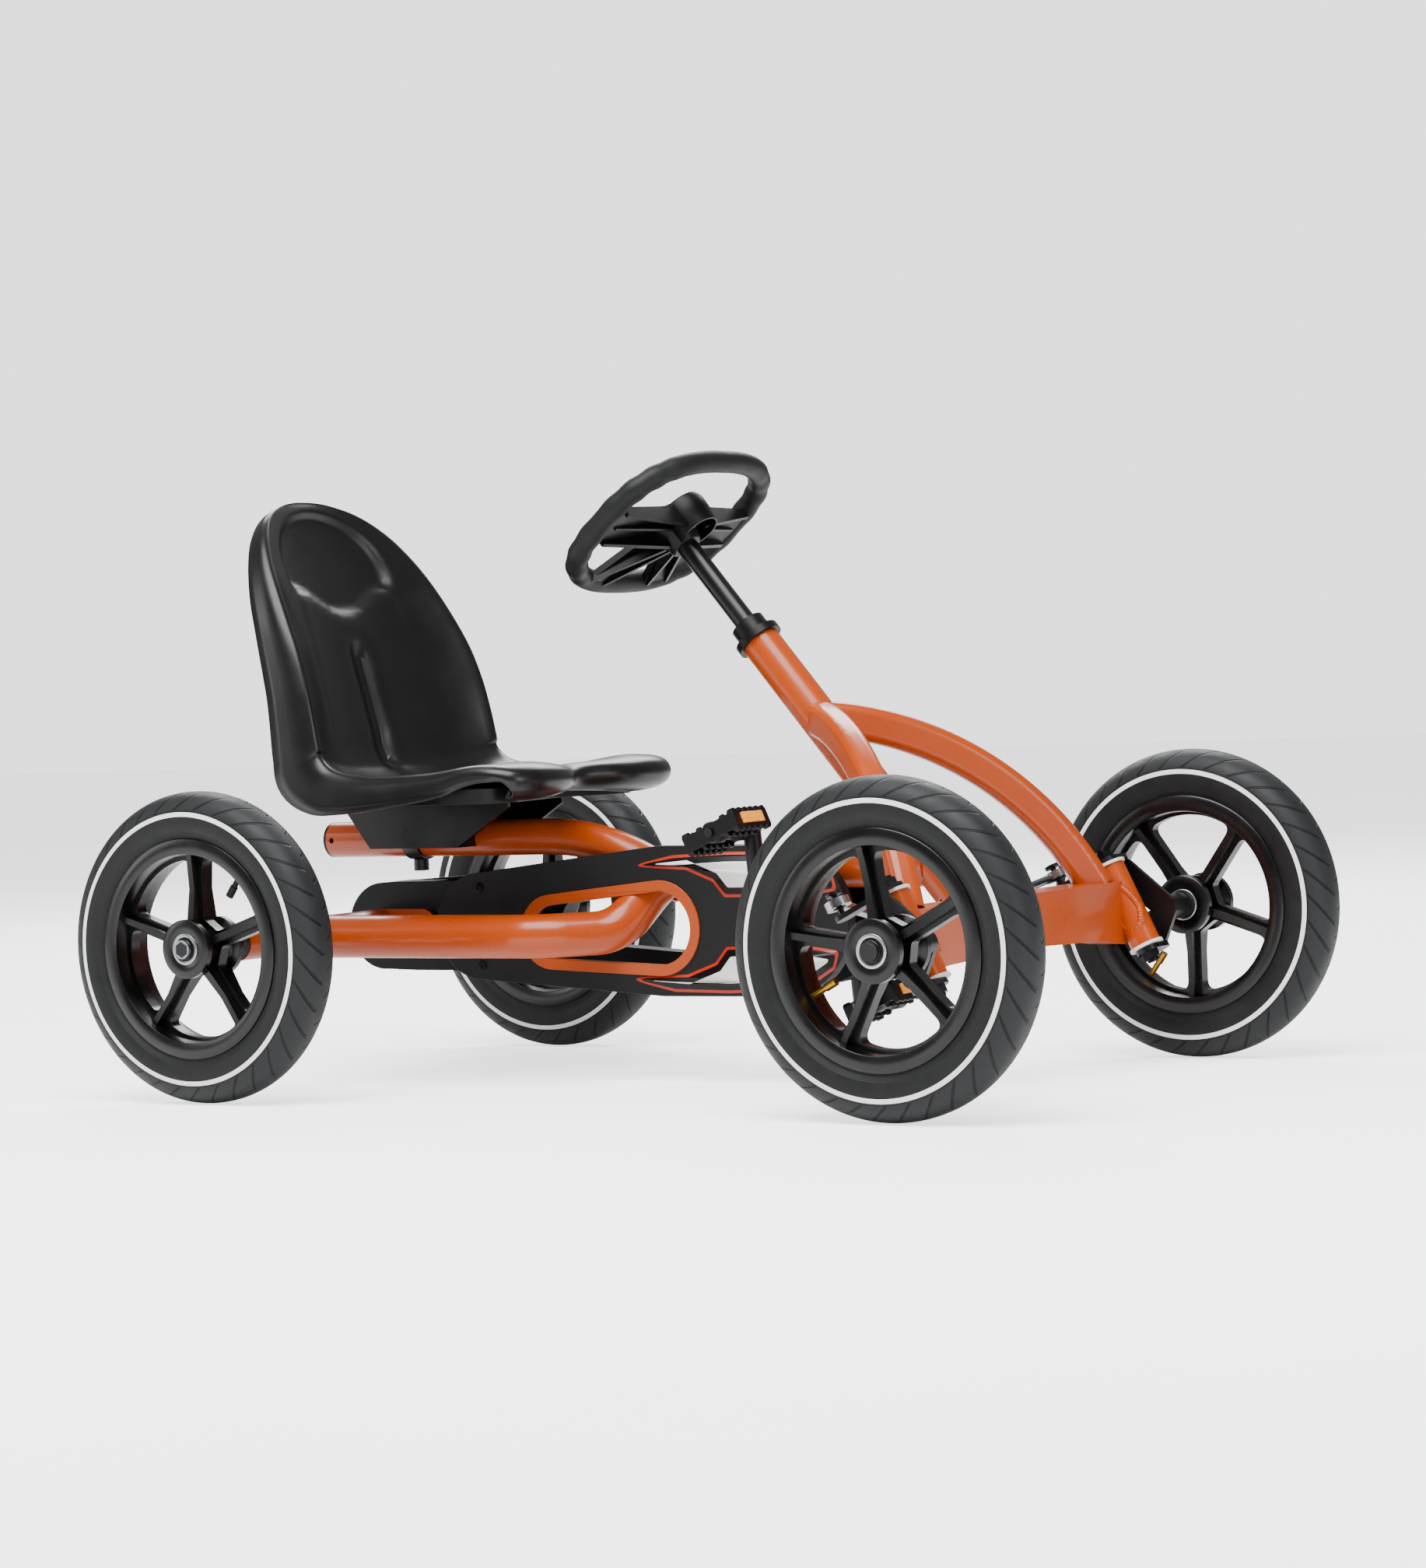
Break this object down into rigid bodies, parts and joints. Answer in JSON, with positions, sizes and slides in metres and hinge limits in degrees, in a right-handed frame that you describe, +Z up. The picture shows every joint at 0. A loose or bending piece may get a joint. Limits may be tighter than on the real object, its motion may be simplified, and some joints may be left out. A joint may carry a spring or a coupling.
{
  "type": "pedal go kart",
  "caption": "Child's pedal go kart: orange tube frame with two front arches, sliding bucket seat, steered front wheels, swinging front end and enclosed chain drive.",
  "frame": {"origin": "on the ground, midway between the axles, in the middle plane", "axes": "+X points forward, +Y to the rider's left, +Z up"},
  "size_m": [1.1319, 0.679, 0.6416],
  "materials": {
    "orange_paint": "glossy powder coat",
    "black_paint": "semi-gloss powder coat",
    "zinc_steel": "bright zinc plate",
    "black_moulding": "fine-grained moulding",
    "seat_moulding": "satin moulding",
    "orange_moulding": "glossy moulding",
    "white_bush": "plain nylon",
    "tyre_rubber": "moulded rubber",
    "amber_lens": "clear amber lens",
    "valve_brass": "plain brass"
  },
  "bodies": {
    "frame": {"main_tube": "orange_paint", "seat_tube": "orange_paint", "seat_tube_plug": "black_moulding", "axle_housings": "orange_paint", "axle_yoke": "orange_paint", "crank_shell": "orange_paint", "frame_bearings": "zinc_steel", "swing_bush": "black_moulding", "guard_shield": "black_moulding", "guard_liner": "orange_moulding", "chain_case_right": "black_moulding", "chain_case_left": "black_moulding", "guard_screws": "zinc_steel", "chain": "zinc_steel"},
    "seat": {"seat_shell": "seat_moulding", "seat_bracket": "black_moulding", "seat_clamp": "black_moulding"},
    "front": {"head_tube": "orange_paint", "front_tube": "orange_paint", "arches": "orange_paint", "front_beam": "orange_paint", "kingpin_tubes": "orange_paint", "kingpin_bushes": "white_bush", "swing_pin": "zinc_steel", "collar_bush": "black_moulding"},
    "steering": {"column": "black_paint", "steering_wheel": "black_moulding", "wheel_cap": "black_moulding", "pitman_arm": "zinc_steel"},
    "tie_rod_left": {"tie_rod_left": "zinc_steel"},
    "tie_rod_right": {"tie_rod_right": "zinc_steel"},
    "knuckle_left": {"knuckle_left": "black_paint", "kingpin_bolt_left": "zinc_steel"},
    "knuckle_right": {"knuckle_right": "black_paint", "kingpin_bolt_right": "zinc_steel"},
    "front_wheel_left": {"tyre_front_left": "tyre_rubber", "wheel_front_left": "black_moulding", "bearings_front_left": "zinc_steel", "valve_front_left": "valve_brass"},
    "front_wheel_right": {"tyre_front_right": "tyre_rubber", "wheel_front_right": "black_moulding", "bearings_front_right": "zinc_steel", "valve_front_right": "valve_brass"},
    "rear_wheel_right": {"tyre_rear_right": "tyre_rubber", "wheel_rear_right": "black_moulding", "bearings_rear_right": "zinc_steel", "valve_rear_right": "valve_brass"},
    "driven_axle": {"rear_axle": "zinc_steel", "drive_hub": "zinc_steel", "tyre_rear_left": "tyre_rubber", "wheel_rear_left": "black_moulding", "bearings_rear_left": "zinc_steel", "valve_rear_left": "valve_brass"},
    "crank": {"crank": "black_paint", "chainring": "zinc_steel"},
    "pedal_left": {"pedal_left": "black_moulding", "reflectors_left": "amber_lens"},
    "pedal_right": {"pedal_right": "black_moulding", "reflectors_right": "amber_lens"}
  },
  "joints": [
    {"name": "seat_slide", "type": "slide", "parent": "frame", "child": "seat", "axis": [1, 0, 0], "range_m": [-0.02, 0.045]},
    {"name": "front_swing", "type": "hinge", "parent": "frame", "child": "front", "pos_m": [0.17, 0, 0.219], "axis": [1, 0, 0], "range_deg": [-6, 6]},
    {"name": "steering_turn", "type": "hinge", "parent": "front", "child": "steering", "pos_m": [0.08531, 0, 0.44548], "axis": [-0.6428, 0, 0.766], "range_deg": [-35, 35]},
    {"name": "tie_rod_left_pivot", "type": "hinge", "parent": "steering", "child": "tie_rod_left", "pos_m": [0.26331, 0.01, 0.15557], "axis": [-0.6428, 0, 0.766], "range_deg": [-38, 38]},
    {"name": "kingpin_left", "type": "hinge", "parent": "front", "child": "knuckle_left", "pos_m": [0.378, 0.212, 0.1625], "axis": [-0.4431, 0, 0.8965], "range_deg": [-32, 32]},
    {"name": "tie_rod_right_pivot", "type": "hinge", "parent": "steering", "child": "tie_rod_right", "pos_m": [0.26331, -0.01, 0.15557], "axis": [-0.6428, 0, 0.766], "range_deg": [-38, 38]},
    {"name": "kingpin_right", "type": "hinge", "parent": "front", "child": "knuckle_right", "pos_m": [0.378, -0.212, 0.1625], "axis": [-0.4431, 0, 0.8965], "range_deg": [-32, 32]},
    {"name": "front_wheel_left_spin", "type": "hinge", "parent": "knuckle_left", "child": "front_wheel_left", "pos_m": [0.407, 0.3055, 0.159], "axis": [0, 1, 0], "continuous": true},
    {"name": "front_wheel_right_spin", "type": "hinge", "parent": "knuckle_right", "child": "front_wheel_right", "pos_m": [0.407, -0.3055, 0.159], "axis": [0, 1, 0], "continuous": true},
    {"name": "rear_wheel_right_spin", "type": "hinge", "parent": "frame", "child": "rear_wheel_right", "pos_m": [-0.407, -0.3055, 0.159], "axis": [0, 1, 0], "continuous": true},
    {"name": "driven_axle_spin", "type": "hinge", "parent": "frame", "child": "driven_axle", "pos_m": [-0.407, 0, 0.159], "axis": [0, 1, 0], "continuous": true},
    {"name": "crank_spin", "type": "hinge", "parent": "frame", "child": "crank", "pos_m": [0.128, 0, 0.166], "axis": [0, 1, 0], "continuous": true},
    {"name": "pedal_left_spin", "type": "hinge", "parent": "crank", "child": "pedal_left", "pos_m": [0.13628, 0.129, 0.07136], "axis": [0, 1, 0], "continuous": true},
    {"name": "pedal_right_spin", "type": "hinge", "parent": "crank", "child": "pedal_right", "pos_m": [0.11972, -0.129, 0.26064], "axis": [0, 1, 0], "continuous": true}
  ],
  "couplings": [
    {"joint": "tie_rod_left_pivot", "follows": "steering_turn", "ratio": -1.047},
    {"joint": "tie_rod_right_pivot", "follows": "steering_turn", "ratio": -1.047},
    {"joint": "kingpin_left", "follows": "steering_turn", "ratio": 0.892},
    {"joint": "kingpin_right", "follows": "steering_turn", "ratio": 0.892},
    {"joint": "crank_spin", "follows": "driven_axle_spin", "ratio": 0.53333}
  ]
}
